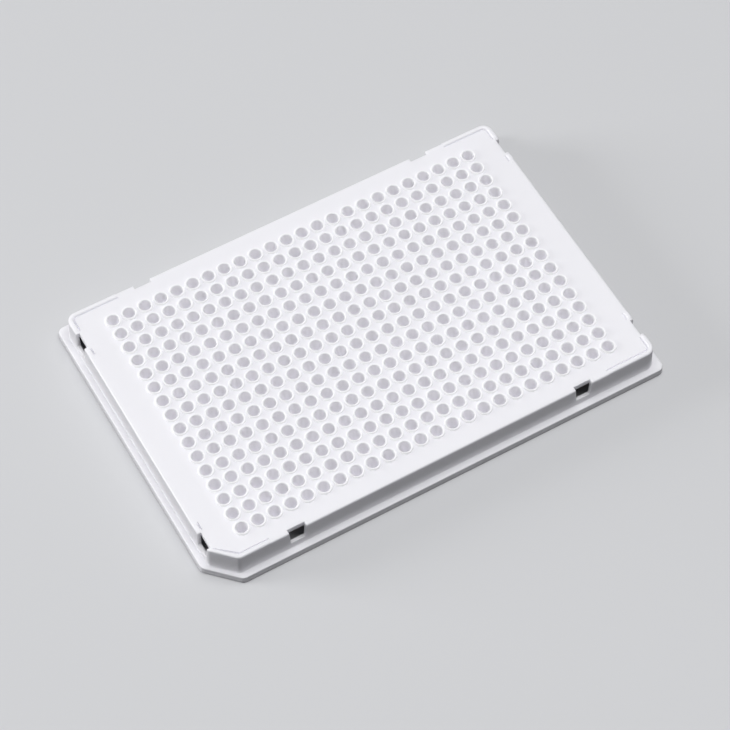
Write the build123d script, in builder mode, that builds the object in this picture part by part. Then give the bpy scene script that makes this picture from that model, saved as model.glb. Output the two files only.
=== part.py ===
"""A 384-well plate: a shallow skirted tray in one moulding, with conical wells hung from its deck.

Frame: millimetres, +Z up. The origin is the centre of the footprint on the resting plane, +X runs along
the rows of 24 wells and the corner that is cut off lies at -X, -Y.
"""

from build123d import *
import math
import os

os.makedirs("parts", exist_ok=True)

# Footprint and heights
plate_length = 127.76
plate_width = 85.48
plate_height = 9.7  # resting plane to the tops of the well rims
rim_height = 0.4  # how far a rim stands above the deck
deck_thickness = 1.6

# Deck and the wall under its edge
deck_inset_ends = 2.13  # from the footprint's ends to the deck's
deck_inset_sides = 2.01
deck_corner_radius = 2.5
deck_corner_cut = 5.6  # leg of the 45 degree cut, along each side
deck_cut_end_radius = 1.4
deck_edge_round = 0.4
wall_lean = 0.25  # how much further out the wall stands at its foot than at the deck
skirt_wall = 0.9

# Flange at the foot of the wall
flange_height = 2.7
flange_thickness = 1.0
flange_corner_radius = 1.8
flange_corner_cut = 8.0
flange_cut_end_radius = 2.0
flange_edge_round = 0.45
foot_round = 0.4  # inside corner between the wall and the flange
band_height = 1.2  # the band round the bottom that stands proud of the flange's side
band_proud = 0.22
band_edge_round = 0.12

# Wells: as many as the pitch fits between the deck's margins
well_pitch = 4.5
well_margin_ends = 7.0  # least width of plain deck beyond the cells at each end
well_margin_sides = 4.0
well_wall = 0.4
bore_radius = 1.44
straight_depth = 3.9  # of the bore's cylindrical upper length, down to the start of its cone
tip_radius = 0.8  # of the ball that the cone runs into
tip_clearance = 0.6  # from the resting plane up to the wells' tips
rim_width = 0.66
rim_bevel = 0.18

# Gripper notches: two in each side, open at the deck, tapering down to a sill
notch_width = 4.6
notch_side_angle = 4.5  # degrees that each side leans in as it goes down
notch_sill_height = 4.5
notch_reach_ends = 21.42  # from the deck's ends to the middles of the notches in its sides
notch_reach_sides = 8.43
notch_bite_long = 0.27  # how far a notch reaches past the wall into the deck
notch_bite_short = 0.1

# Raised ridges along the deck's edge at the four corners
ridge_height = 0.22
ridge_width_long = 1.2
ridge_width_short = 1.35
ridge_reach_ends = 14.22  # how far the ridges run along the deck's sides from its ends
ridge_reach_sides = 13.58
ridge_slope = 55.0  # degrees from upright of their inner sides
ridge_notch_gap = 0.7  # between the end of a ridge and the notch beside it

overrun = 1.0  # cutters run this far past what they cut
least_radius = 0.2  # of the corners inside the walls

# Levels and sizes that follow
deck_length = plate_length - 2 * deck_inset_ends
deck_width = plate_width - 2 * deck_inset_sides
well_columns = math.floor((deck_length - 2 * well_margin_ends) / well_pitch)
well_rows = math.floor((deck_width - 2 * well_margin_sides) / well_pitch)
rim_radius = bore_radius + rim_width
notch_spacing_long = deck_length - 2 * notch_reach_ends
notch_spacing_short = deck_width - 2 * notch_reach_sides
deck_level = plate_height - rim_height
deck_underside = deck_level - deck_thickness
ridge_level = deck_level + ridge_height
wall_height = deck_level - flange_height
wall_angle = math.degrees(math.atan2(wall_lean, wall_height))
diagonal_gain = 2 - math.sqrt(2)  # growth of a 45 degree cut's leg for each millimetre its outline grows
cone_top = plate_height - straight_depth
tip_level = tip_clearance
tip_centre = tip_level + well_wall + tip_radius
cone_rise = cone_top - tip_centre
cone_lean = math.atan2(bore_radius, cone_rise) - math.asin(tip_radius / math.hypot(bore_radius, cone_rise))
cone_touch = (tip_radius * math.cos(cone_lean), tip_centre - tip_radius * math.sin(cone_lean))


def outline(length, width, cut, corner_radius, end_radius):
    """A centred rectangle with three rounded corners, its -X, -Y corner cut off at 45 degrees."""
    half_length = length / 2
    half_width = width / 2
    across_cut = Axis((0, 0, 0), (1, 1, 0))
    with BuildSketch() as shape:
        with BuildLine():
            Polyline(
                (half_length, -half_width),
                (half_length, half_width),
                (-half_length, half_width),
                (-half_length, cut - half_width),
                (cut - half_length, -half_width),
                close=True,
            )
        make_face()
        fillet(shape.vertices().sort_by(across_cut)[2:], max(corner_radius, least_radius))
        fillet(shape.vertices().sort_by(across_cut)[:2], max(end_radius, least_radius))
    return shape.sketch


def deck_outline(grow=0.0):
    """The deck's outline, moved outwards by a distance all round, or inwards if it is negative."""
    return outline(
        deck_length + 2 * grow,
        deck_width + 2 * grow,
        deck_corner_cut + diagonal_gain * grow,
        deck_corner_radius + grow,
        deck_cut_end_radius + grow,
    )


def flange_outline(grow=0.0):
    """The footprint's outline, moved outwards by a distance all round, or inwards if it is negative."""
    return outline(
        plate_length + 2 * grow,
        plate_width + 2 * grow,
        flange_corner_cut + diagonal_gain * grow,
        flange_corner_radius + grow,
        flange_cut_end_radius + grow,
    )


def lean_at(level):
    """How far the wall's outer face stands outside the deck's outline at a level."""
    return wall_lean * (deck_level - level) / wall_height


def walled_block(bottom_level, top_level, inset=0.0):
    """The solid between two levels that lies inside the wall's leaning outer face, less an inset."""
    with BuildPart() as block:
        with BuildSketch(Plane.XY.offset(bottom_level)):
            add(deck_outline(lean_at(bottom_level) - inset))
        extrude(amount=top_level - bottom_level, taper=wall_angle)
    return block.part


def notch_section():
    """A notch seen from the side, standing on its sill and open past the top of the ridges."""
    narrowing = math.tan(math.radians(notch_side_angle))
    height = ridge_level + overrun - notch_sill_height
    half_sill = notch_width / 2 - (deck_level - notch_sill_height) * narrowing
    half_top = half_sill + height * narrowing
    with BuildSketch() as section:
        with BuildLine():
            Polyline((-half_sill, 0), (half_sill, 0), (half_top, height), (-half_top, height), close=True)
        make_face()
    return section.sketch


# One well: a rim that stands above the deck, a straight upper length, and a cone with a round bottom inside
with BuildPart() as well:
    outer_radius = bore_radius + well_wall
    tip_flat = outer_radius - (cone_top - tip_level) * math.tan(cone_lean)
    with BuildSketch(Plane.XZ):
        with BuildLine():
            Polyline(
                (0, tip_level),
                (tip_flat, tip_level),
                (outer_radius, cone_top),
                (outer_radius, deck_level),
                (0, deck_level),
                close=True,
            )
        make_face()
        with Locations((rim_radius / 2, deck_level)):
            Rectangle(rim_radius, 2 * rim_height)
    revolve(axis=Axis.Z)
    with BuildSketch(Plane.XZ):
        with BuildLine():
            TangentArc((0, tip_centre - tip_radius), cone_touch, tangent=(1, 0))
            Polyline(cone_touch, (bore_radius, cone_top), (bore_radius, plate_height), (0, plate_height))
            Line((0, plate_height), (0, tip_centre - tip_radius))
        make_face()
    revolve(axis=Axis.Z, mode=Mode.SUBTRACT)
    chamfer(edges().group_by(Axis.Z)[-1], rim_bevel)

# Raised ridges along the deck's edge: what is left of a block at the four corners
with BuildPart() as ridges:
    add(walled_block(deck_underside, ridge_level))
    fillet(edges().group_by(Axis.Z)[-1], deck_edge_round)
    with BuildSketch(Plane.XY.offset(deck_level)):
        add(
            outline(
                deck_length - 2 * ridge_width_short,
                deck_width - 2 * ridge_width_long,
                deck_corner_cut - diagonal_gain * ridge_width_long,
                deck_corner_radius - ridge_width_long,
                deck_cut_end_radius,
            )
        )
    extrude(amount=ridge_height + overrun, taper=-ridge_slope, mode=Mode.SUBTRACT)
    for open_length, open_width, middle in (
        (deck_length - 2 * ridge_reach_ends, plate_width, 0),
        (plate_length, deck_width - 2 * ridge_reach_sides, 0),
        (plate_length, notch_width + 2 * ridge_notch_gap, notch_spacing_short / 2),
        (plate_length, notch_width + 2 * ridge_notch_gap, -notch_spacing_short / 2),
    ):
        with BuildSketch(Plane.XY.offset(deck_level)):
            with Locations((0, middle)):
                Rectangle(open_length, open_width)
        extrude(amount=ridge_height + overrun, taper=-ridge_slope, mode=Mode.SUBTRACT)
    split(bisect_by=Plane.XY.offset(deck_level - deck_thickness / 2), keep=Keep.TOP)

with BuildPart() as well_plate:
    # Flange, with the band round its foot
    with BuildSketch():
        add(flange_outline())
    extrude(amount=band_height)
    fillet(edges().group_by(Axis.Z)[-1], band_edge_round)
    with BuildSketch():
        add(flange_outline(-band_proud))
    extrude(amount=flange_height)
    fillet(edges().group_by(Axis.Z)[-1], flange_edge_round)

    # Wall and deck, hollow underneath
    with BuildSketch(Plane.XY.offset(flange_height)):
        add(deck_outline(wall_lean))
    extrude(amount=wall_height, taper=wall_angle)
    fillet(edges().group_by(Axis.Z)[-1], deck_edge_round)
    flange_top = faces().filter_by(Plane.XY).sort_by(Axis.Z)[-2]
    fillet(flange_top.inner_wires()[0].edges(), foot_round)
    shelf_underside = flange_height - flange_thickness
    with BuildSketch():
        add(flange_outline(-band_proud - skirt_wall))
    extrude(amount=shelf_underside, mode=Mode.SUBTRACT)
    add(walled_block(shelf_underside, deck_underside, skirt_wall), mode=Mode.SUBTRACT)

    # Ridges at the corners
    add(ridges.part)

    # Wells
    with BuildSketch(Plane.XY.offset(deck_level)):
        with GridLocations(well_pitch, well_pitch, well_columns, well_rows):
            Circle(bore_radius + well_wall / 2)
    extrude(amount=-deck_thickness, mode=Mode.SUBTRACT)
    with GridLocations(well_pitch, well_pitch, well_columns, well_rows):
        add(well.part)

    # Notches through the wall and the deck's edge
    for outward, half_size, spacing, bite in (
        (Vector(0, -1, 0), deck_width / 2, notch_spacing_long, notch_bite_long),
        (Vector(0, 1, 0), deck_width / 2, notch_spacing_long, notch_bite_long),
        (Vector(-1, 0, 0), deck_length / 2, notch_spacing_short, notch_bite_short),
        (Vector(1, 0, 0), deck_length / 2, notch_spacing_short, notch_bite_short),
    ):
        sill = outward * (half_size - skirt_wall - bite) + Vector(0, 0, notch_sill_height)
        with BuildSketch(Plane(sill, x_dir=Vector(0, 0, 1).cross(outward), z_dir=outward)):
            with GridLocations(spacing, 0, 2, 1):
                add(notch_section())
        extrude(amount=skirt_wall + bite + wall_lean + overrun, mode=Mode.SUBTRACT)

well_plate.part.label = "well_plate"
export_step(well_plate.part, "parts/well_plate.step")
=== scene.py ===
"""The finished look of a 384-well plate: one white polypropylene moulding that stands in a plain studio.

Metres, +Z up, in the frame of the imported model: the plate rests on z = 0, its rows of 24 wells run along X
and the corner that is cut off lies at -X, -Y.
"""

import math

import bpy
import numpy as np
from mathutils import Matrix, Vector


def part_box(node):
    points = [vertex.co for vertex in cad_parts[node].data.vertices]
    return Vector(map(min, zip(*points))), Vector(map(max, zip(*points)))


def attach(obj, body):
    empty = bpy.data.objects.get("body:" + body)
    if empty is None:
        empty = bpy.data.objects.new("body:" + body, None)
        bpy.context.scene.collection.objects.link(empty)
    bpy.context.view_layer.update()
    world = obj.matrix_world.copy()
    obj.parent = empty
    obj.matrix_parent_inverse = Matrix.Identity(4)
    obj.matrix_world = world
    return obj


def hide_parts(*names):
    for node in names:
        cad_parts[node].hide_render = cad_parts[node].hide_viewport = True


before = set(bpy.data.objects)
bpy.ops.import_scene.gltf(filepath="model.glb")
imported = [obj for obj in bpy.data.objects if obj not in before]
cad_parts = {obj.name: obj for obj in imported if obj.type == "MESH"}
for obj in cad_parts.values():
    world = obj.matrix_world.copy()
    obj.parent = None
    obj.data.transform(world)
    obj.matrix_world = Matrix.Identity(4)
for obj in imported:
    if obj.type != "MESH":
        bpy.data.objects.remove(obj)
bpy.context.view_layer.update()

# Overall size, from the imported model
plate_low, plate_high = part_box("well_plate")
half_length = (plate_high.x - plate_low.x) / 2
half_width = (plate_high.y - plate_low.y) / 2
rim_level = plate_high.z

# Deck and the wall under its edge
rim_height = 0.0004
deck_thickness = 0.0016
deck_inset_ends = 0.00213  # from the footprint's ends to the deck's edge
deck_inset_sides = 0.00201
deck_corner_radius = 0.0025
deck_corner_cut = 0.0056
deck_cut_end_radii = (0.0014, 0.0018)  # beside the notch, and at the front
cut_least_step = 0.00005  # between points round the first of these, where the notch leaves little room
deck_edge_round = 0.0004
wall_lean = 0.00025  # how much further out the wall stands at its foot than at the deck
skirt_wall = 0.0009

# Flange at the foot of the wall
flange_height = 0.00235
flange_thickness = 0.0010
flange_corner_radius = 0.0018
flange_corner_cut = 0.0077
flange_cut_end_radius = 0.0020
flange_edge_round = 0.00025
foot_round = 0.0003  # inside corner between the wall and the flange
band_height = 0.0010  # the band round the bottom that stands proud of the flange's side
band_proud = 0.00006
band_edge_round = 0.00006

# Wells
well_columns = 24
well_rows = 16
well_pitch = 0.0045
well_depth = 0.0087
well_wall = 0.0004
bore_radius = 0.00144
straight_depth = 0.0039
tip_radius = 0.0008
tip_flat_share = 0.5  # of the tip's radius, where its round bottom ends in a flat
rim_radius = 0.0021
rim_round = 0.0002

# Gripper notches, two in each side
notch_width = 0.0046
notch_side_angle = math.radians(4.5)
notch_sill_level = 0.0045
notch_place_sides = 0.04033  # from the plate's middle to a notch's, along its long sides
notch_place_ends = 0.0323
notch_depth_sides = 0.00117  # from the deck's edge into the deck
notch_depth_ends = 0.0010
notch_edge_round = 0.00025

# Raised ridges along the deck's edge at the corners
ridge_height = 0.00022
ridge_width_sides = 0.0012
ridge_width_ends = 0.00135
ridge_start_sides = 0.04753  # from the plate's middle to where a ridge begins, along its long sides
ridge_start_ends = 0.02715
ridge_slope = math.radians(55.0)  # from upright, of the inner side and the ends
ridge_notch_gap = 0.0007  # between the end of a ridge and the notch beside it
groove_width = 0.00034  # of the fine groove along a ridge's inner foot
groove_share = 2.6  # the groove's depth, as a share of the ridge's height

# Levels and sizes that follow
deck_level = rim_level - rim_height
deck_underside = deck_level - deck_thickness
wall_height = deck_level - flange_height
shelf_underside = flange_height - flange_thickness
ridge_run = ridge_height * math.tan(ridge_slope)
flange_halves = np.array([half_length, half_width])
deck_halves = flange_halves - [deck_inset_ends, deck_inset_sides]
field_half_length = well_columns * well_pitch / 2
field_half_width = well_rows * well_pitch / 2

# How finely curves are cut up: sides round a well, and steps round the corners and the edges
bore_sides = 12
shank_sides = 8
corner_steps = 6
cut_steps = 3
edge_steps = 3
band_steps = 2
sharp_angle = math.radians(50.0)  # past this, an edge is shaded sharp
same_place = 1e-7  # points that round to the same multiple of this are one

# Turns, in radians
eighth = math.pi / 4
quarter = math.pi / 2
half_turn = math.pi

# A notch's round edge in two steps: the way that is left to the corner, and how far the surface is worn back
notch_edge = [(1 - math.sin(turn), 1 - math.cos(turn)) for turn in (0, eighth, quarter)]


# ---------------------------------------------------------------------------------------------------------
# The field of wells
# ---------------------------------------------------------------------------------------------------------

def middles(count):
    """The places of a row of cells about the middle of the plate."""
    return (np.arange(count) - (count - 1) / 2) * well_pitch


def well_rings(profile, cell_level, sides):
    """Every well's rings, with the shape wells, rings, sides, 3. The first is the square edge of its cell:
    the directions round a circle, one of them on each diagonal, stretched until their longer part is half a
    pitch. For each (radius, level) of the profile follows a polygon with the circle's own area: about the
    well's middle (radius k cos t, radius k sin t, level), where t goes round in steps of d and k is the
    square root of d / sin d."""
    step = 2 * math.pi / sides
    turn = eighth + np.arange(sides) * step
    way = np.stack([np.cos(turn), np.sin(turn)], 1)
    square = way / np.abs(way).max(1, keepdims=True) * well_pitch / 2
    radius, level = np.array(profile).T
    radius = radius * math.sqrt(step / math.sin(step))
    plan = np.concatenate([square[None], radius[:, None, None] * way])
    height = np.repeat(np.concatenate([[cell_level], level]), sides).reshape(-1, sides, 1)
    centres = np.stack(np.meshgrid(middles(well_columns), middles(well_rows), indexing="ij"), -1)
    centres = np.pad(centres.reshape(-1, 1, 1, 2), ((0, 0), (0, 0), (0, 0), (0, 1)))
    return centres + np.concatenate([plan, height], -1)


def well_faces(rings):
    """Quads between each well's neighbouring rings, facing up where the rings shrink, and the faces that
    close the last rings, all as corner numbers."""
    number = np.arange(rings[..., 0].size).reshape(rings.shape[:3])
    outer, inner = number[:, :-1], number[:, 1:]
    corners = [outer, np.roll(outer, -1, 2), np.roll(inner, -1, 2), inner]
    return np.stack(corners, -1).reshape(-1, 4), number[:, -1]


def field_edge(level, sides):
    """The loop of points round the whole field of cells, anticlockwise from the middle of the front. On each
    cell they stand where well_rings puts the corners of its square."""
    steps = np.tan(np.linspace(-eighth, eighth, sides // 4, endpoint=False)) * well_pitch / 2
    along_x = (middles(well_columns)[:, None] + steps).ravel()
    along_y = (middles(well_rows)[:, None] + steps).ravel()
    x = np.full_like(along_y, field_half_length)
    y = np.full_like(along_x, field_half_width)
    loop = np.concatenate([
        np.stack([along_x, -y], 1),
        np.stack([x, along_y], 1),
        np.stack([-along_x, y], 1),
        np.stack([-x, -along_y], 1),
    ])
    start = len(along_x) // 2
    return np.pad(np.roll(loop, -start, 0), ((0, 0), (0, 1)), constant_values=level)


# ---------------------------------------------------------------------------------------------------------
# The deck's margin, the wall and the flange: one section carried round the outline
# ---------------------------------------------------------------------------------------------------------

# A station, a place round the outline, has its points on the deck's and the flange's outlines, the direction
# out from them, whether the ridge runs there, which way a notch's side leans, how far its round edge is worn,
# and whether the stretch to the next place lies in a notch
station = np.dtype([
    ("deck", float, 2),
    ("flange", float, 2),
    ("out", float, 2),
    ("ridge", float),
    ("lean", float),
    ("worn", float),
    ("opening", bool),
])


def stations(*values):
    """Stations from their values in the order above. A single value is the same for all of them."""
    made = np.empty(len(values[0]), station)
    for label, value in zip(station.names, values):
        made[label] = value
    return made


def side(out, places, flange_straight=math.inf):
    """Stations on a straight side that faces out. Each place is (along, ridge, lean, worn, opening), along
    the side anticlockwise from its middle. On the flange none lies beyond flange_straight."""
    places = np.array(places, float)
    out = np.array(out, float)
    run = np.array([-out[1], out[0]])
    deck_half, flange_half = (np.abs(out) @ half for half in (deck_halves, flange_halves))
    along = places[:, :1]
    flange = out * flange_half + np.minimum(along, flange_straight) * run
    return stations(out * deck_half + along * run, flange, out, *places[:, 1:].T)


def bend(way, start, stop, steps, radii, legs, ridge=1.0):
    """Stations round an arc of the outline, at the corner that lies way from the plate's middle. The arc's
    own middle is legs short of that corner along X and Y, and the arc goes from one angle to another, both
    measured from +X. radii and legs have a value for the deck and one for the flange."""
    turn = np.linspace(start, stop, steps + 1)
    out = np.stack([np.cos(turn), np.sin(turn)], 1)
    loops = [
        np.array(way) * (half - leg) + radius * out
        for half, leg, radius in zip((deck_halves, flange_halves), legs, radii)
    ]
    return stations(*loops, out, ridge, 0, 0, False)


def notch(middle):
    """Places across a notch: its round edge, the two ends of its sill, and its other edge."""
    half = notch_width / 2 - (deck_level - notch_sill_level) * math.tan(notch_side_angle)
    start = [(middle - half - notch_edge_round * away, 0, -1, worn, 0) for away, worn in notch_edge]
    stop = [(middle + half + notch_edge_round * away, 0, 1, worn, 0) for away, worn in notch_edge]
    start[-1] = start[-1][:4] + (1,)
    return start + stop[::-1]


def arc(middle_out, middle_up, radius, start, stop, steps):
    """Points round an edge of the section, from one angle to another. Each is (out, level, way out, way up):
    its place is the middle + radius * way, and way = (cos, sin) of its angle is the surface's direction."""
    turn = np.linspace(start, stop, steps + 1)
    way = np.stack([np.cos(turn), np.sin(turn)], 1)
    return np.concatenate([[middle_out, middle_up] + radius * way, way], 1).tolist()


def lean_at(level):
    """How far the wall's outer face stands outside the deck's outline at a level."""
    return wall_lean * (deck_level - level) / wall_height


def on_deck(out, level, way=(1, 0), worn=0.0, rise=0.0, ends=None):
    """A line of the section that follows the deck's outline, so far outside it, and at the ends by another
    distance if that is given. way is the surface's direction out and up. worn and rise say how much of a
    notch's round edge and of the ridge's height the line takes."""
    return (0, out if ends is None else ends, out, level, *way, worn, rise)


def on_flange(out, level):
    """A line of the section that follows the flange's outline."""
    return (1, out, out, level, 1, 0, 0, 0)


def clear(along, ridge=0):
    """A place on a straight side that is clear of the notches, with a ridge or without."""
    return (along, ridge, 0, 0, 0)


def mirrored(places):
    """The same places on the other half of a side, for places that are clear of the notches."""
    return [(-along, *rest) for along, *rest in places[::-1]]


def outline_places():
    """Every station round the plate, anticlockwise from the middle of the front."""
    # Where the ridges step up and down: on the long sides, and on the short ones before and past a notch
    gap = notch_width / 2 + ridge_notch_gap
    near = notch_place_ends - gap
    far = notch_place_ends + gap
    on_long = [clear(ridge_start_sides), clear(ridge_start_sides + ridge_run, 1)]
    before = [
        clear(ridge_start_ends),
        clear(ridge_start_ends + ridge_run, 1),
        clear(near - ridge_run, 1),
        clear(near),
    ]
    past = [clear(far), clear(far + ridge_run, 1)]
    long_half = notch(notch_place_sides) + on_long
    other_half = mirrored(on_long) + notch(-notch_place_sides)
    inner_half = before + notch(notch_place_ends)
    short_side = mirrored(past) + notch(-notch_place_ends) + mirrored(before) + inner_half

    # The round corners, and the two ends of the cut, where the outline turns by half a right angle
    corner = (deck_corner_radius, flange_corner_radius)
    cuts = (deck_corner_cut, flange_corner_cut)
    first_cut, last_cut = ((radius, flange_cut_end_radius) for radius in deck_cut_end_radii)
    first_legs, last_legs = (
        [leg + radius * math.tan(eighth / 2) for leg, radius in zip(cuts, radii)]
        for radii in (first_cut, last_cut)
    )
    first_short = list(zip(first_cut, first_legs))
    last_short = list(zip(last_legs, last_cut))
    aslant = half_turn + eighth
    return np.concatenate([
        side((0, -1), [clear(0)] + long_half),
        bend((1, -1), -quarter, 0, corner_steps, corner, corner),
        side((1, 0), short_side + past),
        bend((1, 1), 0, quarter, corner_steps, corner, corner),
        side((0, 1), other_half + long_half),
        bend((-1, 1), quarter, half_turn, corner_steps, corner, corner),
        side((-1, 0), short_side, half_width - first_legs[1]),
        bend((-1, -1), half_turn, aslant, cut_steps, first_cut, first_short, ridge=0),
        bend((-1, -1), aslant, aslant, 0, first_cut, first_short),
        bend((-1, -1), aslant, half_turn + quarter, cut_steps, last_cut, last_short),
        side((0, -1), other_half),
    ])


def carried(section, places):
    """The section carried round the outline, with the shape lines, stations, 3. Each line stands outside
    each station by its own distance, raised onto the ridge's crest where that runs, worn back at the edges
    of the notches and slid along where a notch's side leans. In plan a point is the outline's own + away *
    out + slide * run, where run is out turned a quarter round."""
    plan, ends, sides, level, way_out, way_up, line_worn, rise = np.array(section).T[..., None]
    out = places["out"]
    raised = rise * places["ridge"]
    wear = notch_edge_round * np.minimum(line_worn, places["worn"])
    height = level + raised * ridge_height - wear * way_up
    # A crest starts where the ridge's slope has risen from its inner foot
    across_ends, across_sides = out.T ** 2
    crest = ridge_run - ridge_width_ends * across_ends - ridge_width_sides * across_sides
    away = ends * across_ends + sides * across_sides
    away = np.where(raised > 0, np.maximum(away, crest), away) - wear * way_out
    # Round the cut's first arc, a line that lies further in than a notch goes only half as far past it
    arc_start = np.flatnonzero((out < 0).all(1))[0] - 1
    arc_end = arc_start + cut_steps + 1
    deeper = np.minimum(away[:, arc_start:arc_end] + notch_depth_ends, 0)
    away[:, arc_start:arc_end] -= deeper / 2
    slide = places["lean"] * math.tan(notch_side_angle) * np.maximum(height - notch_sill_level, 0)
    run = np.stack([-out[:, 1], out[:, 0]], 1)
    base = np.where(plan[..., None] > 0, places["flange"], places["deck"])
    flat = base + away[..., None] * out + slide[..., None] * run
    # That arc, and the place after it, stay clear of the notch beside them
    beside = slice(arc_start, arc_end + 1)
    drop = cut_least_step * (np.arange(cut_steps + 2) + 1)
    flat[:, beside, 1] = np.minimum(flat[:, beside, 1], flat[:, arc_start - 1, None, 1] - drop)
    return np.concatenate([flat, height[..., None]], -1)


def place_round_field(loop):
    """How far round the field of cells each point's nearest place on its edge is, anticlockwise from the
    middle of the front."""
    long, short = field_half_length, field_half_width
    x = np.clip(loop[:, 0], -long, long)
    y = np.clip(loop[:, 1], -short, short)
    front = y <= -short
    back = y >= short
    return np.select(
        [front & (x >= 0), (x >= long) & ~back, back, (x <= -long) & ~front, front],
        [
            x,
            long + short + y,
            2 * long + 2 * short - x,
            3 * long + 3 * short - y,
            4 * long + 4 * short + x,
        ],
    )


def stitched(inner, outer, first_inner, first_outer):
    """Triangles that fill the band between two loops of points, as corner numbers with the last one twice.
    Each edge of a loop goes to the point that the other loop has reached when both are walked together."""
    whole = 4 * (field_half_length + field_half_width)
    keys = []
    for loop in (inner, outer):
        place = place_round_field(loop)
        keys.append((place + np.append(place[1:], whole)) / 2)
    faces = []
    for own, other, first, first_other, ties in (
        (keys[0], keys[1], first_inner, first_outer, "left"),
        (keys[1], keys[0], first_outer, first_inner, "right"),
    ):
        start = np.arange(len(own))
        stop = (start + 1) % len(own)
        across = np.searchsorted(other, own, ties) % len(other)
        tail, head = (start, stop) if ties == "right" else (stop, start)
        faces.append(np.stack([first + tail, first + head, first_other + across, first_other + across], 1))
    return np.concatenate(faces)


def moulded_section():
    """The section's lines, from the field of wells over the deck's margin, down the outside, under the foot
    and up the inside to the deck's underside, and the numbers of the lines that bound the notches."""
    # Across the deck: the groove, the side of the ridge, its crest, and the notches' inner faces
    lines = []
    for past, rise in ((groove_width, 0), (groove_width / 2, -groove_share), (0, 0), (0, 1)):
        ends = -ridge_width_ends - past
        lines.append(on_deck(-ridge_width_sides - past, deck_level, (0, 1), rise=rise, ends=ends))
    for worn in (0, 1):
        lines.append(on_deck(-notch_depth_sides, deck_level, (0, 1), worn, 1, -notch_depth_ends))
    top = len(lines) - 1
    edge_level = deck_level - deck_edge_round
    for out, level, *way in arc(-deck_edge_round, edge_level, deck_edge_round, quarter, 0, edge_steps):
        lines.append(on_deck(out + lean_at(level), level, way, worn=1, rise=1))
    lines.append(on_deck(lean_at(edge_level), edge_level, worn=1))
    sill_outside = len(lines)
    for left, worn in notch_edge[::-1]:
        level = notch_sill_level - left * notch_edge_round
        lines.append(on_deck(lean_at(level), level, worn=worn))
    foot_out, foot_up = wall_lean + foot_round, flange_height + foot_round
    for out, level, *_ in arc(foot_out, foot_up, foot_round, half_turn, 3 * quarter, edge_steps):
        lines.append(on_deck(out, level))
    # Round the flange, from its top down to the resting plane and up its inside
    edge_out, edge_up = -band_proud - flange_edge_round, flange_height - flange_edge_round
    rounds = arc(edge_out, edge_up, flange_edge_round, quarter, 0, edge_steps)
    rounds += [(-band_proud, band_height)]
    rounds += arc(-band_edge_round, band_height - band_edge_round, band_edge_round, quarter, 0, band_steps)
    inner_face = -band_proud - skirt_wall
    rounds += [(0, 0), (inner_face, 0), (inner_face, shelf_underside)]
    lines += [on_flange(out, level) for out, level, *_ in rounds]
    lines.append(on_deck(lean_at(shelf_underside) - skirt_wall, shelf_underside))
    sill_inside = len(lines)
    lines.append(on_deck(lean_at(notch_sill_level) - skirt_wall, notch_sill_level))
    lines.append(on_deck(lean_at(deck_underside) - skirt_wall, deck_underside))
    lines.append(on_deck(-notch_depth_sides, deck_underside, ends=-notch_depth_ends))
    return lines, (top, sill_outside, sill_inside, len(lines) - 1)


def margin_faces(skin, opening, bounds):
    """Faces of the carried section: quads between its lines, without those in the notches, and for each
    notch the face of the deck's edge, the top of the sill and the two ends, as lists of corner numbers."""
    top, sill_outside, sill_inside, under = bounds
    number = np.arange(skin[..., 0].size).reshape(skin.shape[:2])
    ahead = np.roll(number, -1, 1)
    quads = np.stack([number[:-1], number[1:], ahead[1:], ahead[:-1]], -1)
    line = np.arange(len(quads))[:, None]
    through = ((line >= top) & (line < sill_outside)) | (line >= sill_inside)
    kept = quads[~(through & opening)]
    strip, sill = (
        np.stack([number[near], number[far], ahead[far], ahead[near]], -1)[opening]
        for near, far in ((top, under), (sill_inside, sill_outside))
    )
    start = np.flatnonzero(opening)
    ring = np.r_[top:sill_outside + 1, sill_inside:under + 1]
    ends = [number[ring, place].tolist() for place in start]
    ends += [number[ring[::-1], place + 1].tolist() for place in start]
    return np.concatenate([kept, strip, sill]), ends


def well_profiles():
    """The well's inside, from the foot of its rim over the crest and down the bore to the flat of its tip,
    and the outside of its shank, each as (radius, level)."""
    cone_top = rim_level - straight_depth
    tip_middle = rim_level - well_depth + tip_radius
    rise = cone_top - tip_middle
    lean = math.atan2(bore_radius, rise) - math.asin(tip_radius / math.hypot(bore_radius, rise))
    inside = [
        (rim_radius, deck_level),
        (rim_radius - rim_round, rim_level),
        (bore_radius + rim_round, rim_level),
        (bore_radius, rim_level - rim_round),
        (bore_radius, cone_top),
        (tip_radius * math.cos(lean), tip_middle - tip_radius * math.sin(lean)),
        (tip_radius * tip_flat_share, tip_middle - tip_radius),
    ]
    shank_radius = bore_radius + well_wall
    tip_level = tip_middle - tip_radius - well_wall
    flat = shank_radius - (cone_top - tip_level) * math.tan(lean)
    return inside, [(shank_radius, deck_underside), (shank_radius, cone_top), (flat, tip_level)]


def closed_mesh(name, points, quads, polygons):
    """A mesh of these faces with the points that coincide made one. A quad whose neighbouring corners
    coincide becomes a triangle, or goes if two pairs do."""
    places = np.round(points / same_place).astype(np.int64)
    _, first, number = np.unique(places, axis=0, return_index=True, return_inverse=True)
    number = number.ravel()
    quads = number[quads]
    repeated = quads == np.roll(quads, -1, 1)
    whole = quads[~repeated.any(1)]
    once = repeated.sum(1) == 1
    thin = quads[once][~repeated[once]].reshape(-1, 3)
    rest = [list(dict.fromkeys(number[polygon].tolist())) for polygon in polygons]
    mesh = bpy.data.meshes.new(name)
    mesh.from_pydata(points[first].tolist(), [], whole.tolist() + thin.tolist() + rest)
    mesh.validate()
    return mesh


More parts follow.
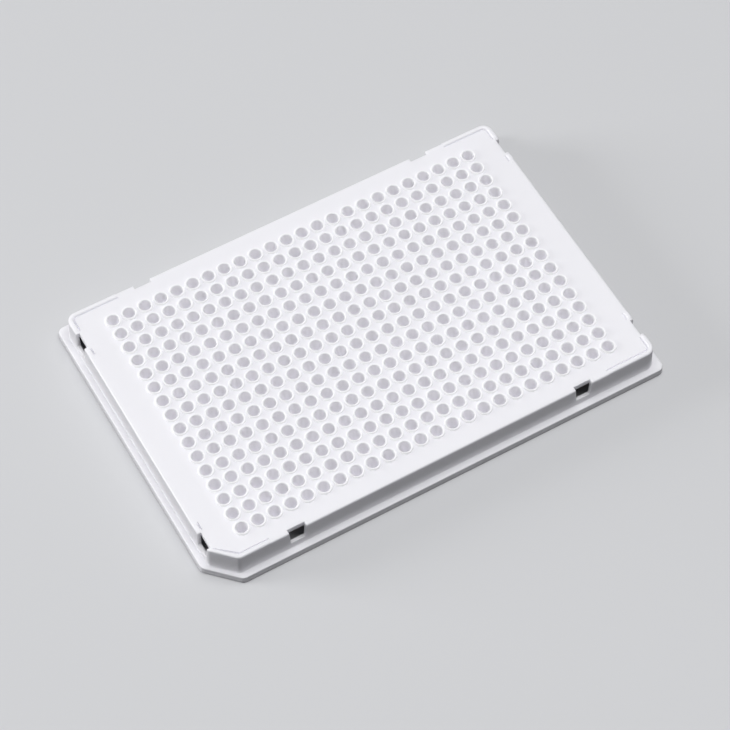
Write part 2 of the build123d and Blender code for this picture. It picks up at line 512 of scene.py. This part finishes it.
def plate_mesh():
    """The whole moulding as one closed skin: the wells from above and below, and the section round them."""
    inside, outside = well_profiles()
    bores = well_rings(inside, deck_level, bore_sides)
    shanks = well_rings(outside, deck_underside, shank_sides)
    places = outline_places()
    lines, bounds = moulded_section()
    skin = carried(lines, places)
    edge_above, edge_below = field_edge(deck_level, bore_sides), field_edge(deck_underside, shank_sides)
    parts = [bores.reshape(-1, 3), shanks.reshape(-1, 3), skin.reshape(-1, 3), edge_above, edge_below]
    starts = np.cumsum([0] + [len(part) for part in parts])
    count = len(places)
    quads, polygons = margin_faces(skin, places["opening"], bounds)
    last_line = starts[2] + (len(lines) - 1) * count
    bore_walls, bottoms = well_faces(bores)
    shank_walls, tips = well_faces(shanks)
    faces = [
        bore_walls,
        shank_walls[:, ::-1] + starts[1],
        quads + starts[2],
        stitched(edge_above, skin[0], starts[3], starts[2]),
        stitched(edge_below, skin[-1], starts[4], last_line)[:, ::-1],
    ]
    polygons = [[corner + starts[2] for corner in polygon] for polygon in polygons]
    polygons += bottoms.tolist() + (tips[:, ::-1] + starts[1]).tolist()
    return closed_mesh("well_plate_moulding", np.concatenate(parts), np.concatenate(faces), polygons)


# ---------------------------------------------------------------------------------------------------------
# Materials
# ---------------------------------------------------------------------------------------------------------

# How many finer octaves the mottle's noises hold
cloud_detail = 2.0
grain_detail = 3.0

# The plastic. A pair goes from one side of the mottle's cloud to the other.
plastic_colours = (0.83, 0.825, 0.865), (0.86, 0.855, 0.895)
plastic_roughness = 0.38, 0.5
plastic_cloud_scale = 45.0
plastic_grain_scale = 2600.0
plastic_ior = 1.49
grain_height = 0.00001
grain_strength = 0.35
scatter_share = 0.5
scatter_depth = 0.0018

# The wells: painted light, a whiter colour in them that stands in for the light that goes from wall to wall
# and brightens them
painted_well_light_colour = (0.99, 0.985, 0.998)
rim_share = 0.4  # how much of that painted light the rims take, a painted highlight on them
bore_reach = 0.001  # depth below the rims at which the bores take all of it
low_share = 0.8  # how much of the painted light is left further down, so the bores are darker towards the bottom
low_reach = 0.006  # depth below the rims at which only that is left

# The floor is pale to look at, but gives little light back to the plate
floor_colours = (0.60, 0.605, 0.62), (0.63, 0.635, 0.65)
floor_return = (0.04, 0.04, 0.045)
floor_roughness = 0.75, 0.9
floor_cloud_scale = 4.0
floor_grain_scale = 900.0


def new_group(name, inputs, outputs):
    """An empty node group with number inputs (name: default) and outputs (name: socket type)."""
    group = bpy.data.node_groups.new(name, "ShaderNodeTree")
    for label, default in inputs.items():
        socket = group.interface.new_socket(name=label, in_out="INPUT", socket_type="NodeSocketFloat")
        socket.default_value = default
    for label, kind in outputs.items():
        group.interface.new_socket(name=label, in_out="OUTPUT", socket_type=kind)
    return group, group.nodes.new("NodeGroupInput"), group.nodes.new("NodeGroupOutput")


def mottle_group():
    """Soft noise of two sizes over the object's own coordinates: a broad cloud, and the tool's fine grain."""
    numbers = {"Cloud Scale": plastic_cloud_scale, "Grain Scale": plastic_grain_scale}
    group, given, put = new_group("mottle", numbers, {"Cloud": "NodeSocketFloat", "Grain": "NodeSocketFloat"})
    link = group.links.new
    place = group.nodes.new("ShaderNodeTexCoord")
    for label, detail in (("Cloud", cloud_detail), ("Grain", grain_detail)):
        noise = group.nodes.new("ShaderNodeTexNoise")
        noise.inputs["Detail"].default_value = detail
        link(place.outputs["Object"], noise.inputs["Vector"])
        link(given.outputs[label + " Scale"], noise.inputs["Scale"])
        link(noise.outputs["Fac"], put.inputs[label])
    return group


def feed(links, given, into):
    """Gives a socket its input: a link from another socket, or a number."""
    if isinstance(given, (int, float)):
        into.default_value = given
    else:
        links.new(given, into)


def maths(nodes, links, operation, *inputs):
    """A new maths node's output. Each input is a socket or a number."""
    node = nodes.new("ShaderNodeMath")
    node.operation = operation
    for into, given in zip(node.inputs, inputs):
        feed(links, given, into)
    return node.outputs["Value"]


def between(nodes, links, source, low, high, start=0.0, stop=1.0):
    """The output of a new node that goes from low to high while its source goes from start to stop."""
    node = nodes.new("ShaderNodeMapRange")
    inputs = {"Value": source, "From Min": start, "From Max": stop, "To Min": low, "To Max": high}
    for label, given in inputs.items():
        feed(links, given, node.inputs[label])
    return node.outputs["Result"]


def mixed(nodes, links, share, low, high):
    """The output of a new node that mixes two colours by a mask. A colour is a socket or three numbers."""
    node = nodes.new("ShaderNodeMix")
    node.data_type = "RGBA"
    links.new(share, node.inputs["Factor"])
    for label, colour in (("A", low), ("B", high)):
        if isinstance(colour, tuple):
            node.inputs[label].default_value = (*colour, 1)
        else:
            links.new(colour, node.inputs[label])
    return node.outputs["Result"]


def painted_well_light_group():
    """Where the wells' painted light goes, a mask over the object's own coordinates: 0 on the deck and
    everywhere outside the wells, a share of 1 on their rims as a painted highlight, 1 inside them from a
    depth below the rims, and from there down to a greater depth a fall to another share, so the bores are
    darker towards the bottom."""
    numbers = {"Rim Share": rim_share, "Depth": bore_reach, "Low Share": low_share, "Low Depth": low_reach}
    group, given, put = new_group("wells", numbers, {"Mask": "NodeSocketFloat"})
    nodes, links, ask = group.nodes, group.links, given.outputs
    place = nodes.new("ShaderNodeSeparateXYZ")
    links.new(nodes.new("ShaderNodeTexCoord").outputs["Object"], place.inputs["Vector"])
    squares, inside = [], []
    for axis, half_size in (("X", field_half_length), ("Y", field_half_width)):
        cell = maths(nodes, links, "DIVIDE", place.outputs[axis], well_pitch)
        off_middle = maths(nodes, links, "SUBTRACT", maths(nodes, links, "FRACT", cell), 0.5)
        squares.append(maths(nodes, links, "POWER", off_middle, 2.0))
        inside.append(maths(nodes, links, "COMPARE", place.outputs[axis], 0.0, half_size))
    from_middle = maths(nodes, links, "SQRT", maths(nodes, links, "ADD", *squares))
    below = maths(nodes, links, "SUBTRACT", rim_level, place.outputs["Z"])
    # Painted highlight: the rims take a share of the painted well light
    on_rim = maths(nodes, links, "LESS_THAN", below, rim_height + well_wall)
    bore_edge = (bore_radius + well_wall / 2) / well_pitch
    reach = between(nodes, links, on_rim, bore_edge, rim_radius / well_pitch)
    mask = maths(nodes, links, "LESS_THAN", from_middle, reach)
    deep = between(nodes, links, below, ask["Rim Share"], 1.0, 0.0, ask["Depth"])
    low = between(nodes, links, below, 1.0, ask["Low Share"], ask["Depth"], ask["Low Depth"])
    for part in (deep, low, *inside):
        mask = maths(nodes, links, "MULTIPLY", mask, part)
    links.new(mask, put.inputs["Mask"])
    return group


def base_material(name, cloud_scale, grain_scale):
    """A new material with its node tree, its shader and the mottle group's two masks."""
    material = bpy.data.materials.new(name)
    material.use_nodes = True
    tree = material.node_tree
    mottle = tree.nodes.new("ShaderNodeGroup")
    mottle.node_tree = shared_mottle
    mottle.inputs["Cloud Scale"].default_value = cloud_scale
    mottle.inputs["Grain Scale"].default_value = grain_scale
    shader = tree.nodes["Principled BSDF"]
    return material, tree.nodes, tree.links, shader, mottle.outputs["Cloud"], mottle.outputs["Grain"]


def polypropylene():
    """White polypropylene off a fine matt tool: a cool white, a soft gloss that a grain breaks up, and
    painted light in the wells.
    """
    material, nodes, links, shader, cloud, grain = base_material(
        "white_polypropylene", plastic_cloud_scale, plastic_grain_scale
    )
    shader.inputs["IOR"].default_value = plastic_ior
    shader.inputs["Subsurface Weight"].default_value = scatter_share
    shader.inputs["Subsurface Radius"].default_value = (1, 1, 1)
    shader.inputs["Subsurface Scale"].default_value = scatter_depth
    # Painted light: the wells' plastic is drawn whiter to stand in for light between their walls, with a
    # painted highlight on the rims
    wells = nodes.new("ShaderNodeGroup")
    wells.node_tree = painted_well_light_group()
    plain = mixed(nodes, links, cloud, *plastic_colours)
    lit = mixed(nodes, links, wells.outputs["Mask"], plain, painted_well_light_colour)
    links.new(lit, shader.inputs["Base Color"])
    links.new(between(nodes, links, cloud, *plastic_roughness), shader.inputs["Roughness"])
    bump = nodes.new("ShaderNodeBump")
    bump.inputs["Distance"].default_value = grain_height
    bump.inputs["Strength"].default_value = grain_strength
    links.new(grain, bump.inputs["Height"])
    links.new(bump.outputs["Normal"], shader.inputs["Normal"])
    return material


def floor_paint():
    """The studio floor: pale and matt, with a faint cloud in it."""
    material, nodes, links, shader, cloud, grain = base_material(
        "studio_floor", floor_cloud_scale, floor_grain_scale
    )
    shown = nodes.new("ShaderNodeLightPath").outputs["Is Camera Ray"]
    seen = mixed(nodes, links, shown, floor_return, mixed(nodes, links, cloud, *floor_colours))
    links.new(seen, shader.inputs["Base Color"])
    links.new(between(nodes, links, grain, *floor_roughness), shader.inputs["Roughness"])
    return material


# ---------------------------------------------------------------------------------------------------------
# The studio
# ---------------------------------------------------------------------------------------------------------

# Each softbox: name, place, width and power
softboxes = ("top", (0.12, -0.06, 1.3), 0.95, 13.6), ("left", (-1.08, 0.62, 0.28), 0.5, 9.8)
world_colour = (0.97, 0.98, 1.0)
world_strength = 0.2  # as light on the plate
backdrop_strength = 0.85  # as the camera and reflections see it
deep_bounces = 24  # enough for the light that goes from wall to wall down a deep white well
floor_size = 4.0

# Camera: from a look straight down it rolls, tilts up and swings round. Its lens is in millimetres.
camera_place = (-0.17544, -0.30026, 0.55351)
camera_roll = math.radians(0.8031)
camera_tilt = math.radians(31.8878)
camera_swing = math.radians(-30.5202)
film_width = 36.0
lens_length = 127.74


def add(name, data):
    """A new object in the scene."""
    thing = bpy.data.objects.new(name, data)
    bpy.context.scene.collection.objects.link(thing)
    return thing


def softbox(name, place, width, power):
    """A square area lamp that faces the plate."""
    lamp = bpy.data.lights.new(name, "AREA")
    lamp.size = width
    lamp.energy = power
    thing = add(name, lamp)
    thing.location = place
    thing.rotation_euler = (-Vector(place)).to_track_quat("-Z", "Y").to_euler()


def studio_world():
    """Dim light from all round, behind which the camera and reflections see a pale backdrop."""
    world = bpy.data.worlds.new("studio")
    bpy.context.scene.world = world
    world.use_nodes = True
    nodes, links = world.node_tree.nodes, world.node_tree.links
    back = nodes["Background"]
    ray = nodes.new("ShaderNodeLightPath").outputs
    seen = maths(nodes, links, "MAXIMUM", ray["Is Camera Ray"], ray["Is Glossy Ray"])
    back.inputs["Color"].default_value = (*world_colour, 1)
    links.new(between(nodes, links, seen, world_strength, backdrop_strength), back.inputs["Strength"])


def studio_floor():
    """The flat floor, a square about the middle of the plate."""
    corners = [(x * floor_size / 2, y * floor_size / 2, 0) for x, y in ((-1, -1), (1, -1), (1, 1), (-1, 1))]
    mesh = bpy.data.meshes.new("floor")
    mesh.from_pydata(corners, [], [(0, 1, 2, 3)])
    mesh.materials.append(floor_paint())
    return add("floor", mesh)


def studio_camera():
    """A long lens from in front and to the left, 58 degrees above the floor."""
    lens = bpy.data.cameras.new("camera")
    lens.sensor_width = film_width
    lens.lens = lens_length
    camera = add("camera", lens)
    place = Matrix.Translation(camera_place)
    for angle, axis in ((camera_swing, "Z"), (camera_tilt, "X"), (camera_roll, "Z")):
        place = place @ Matrix.Rotation(angle, 4, axis)
    camera.matrix_world = place
    bpy.context.scene.camera = camera


# ---------------------------------------------------------------------------------------------------------
# Making it
# ---------------------------------------------------------------------------------------------------------

shared_mottle = mottle_group()

moulding = add("moulding", plate_mesh())
moulding.data.materials.append(polypropylene())
moulding.data.shade_smooth()
moulding.data.set_sharp_from_angle(angle=sharp_angle)
even = moulding.modifiers.new("even_normals", "WEIGHTED_NORMAL")
even.keep_sharp = True
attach(moulding, "root")
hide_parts("well_plate")

floor = studio_floor()

for name, place, width, power in softboxes:
    softbox(name, place, width, power)
studio_world()
studio_camera()
scene = bpy.context.scene
scene.view_settings.view_transform = "Standard"
scene.cycles.max_bounces = deep_bounces
scene.cycles.diffuse_bounces = deep_bounces
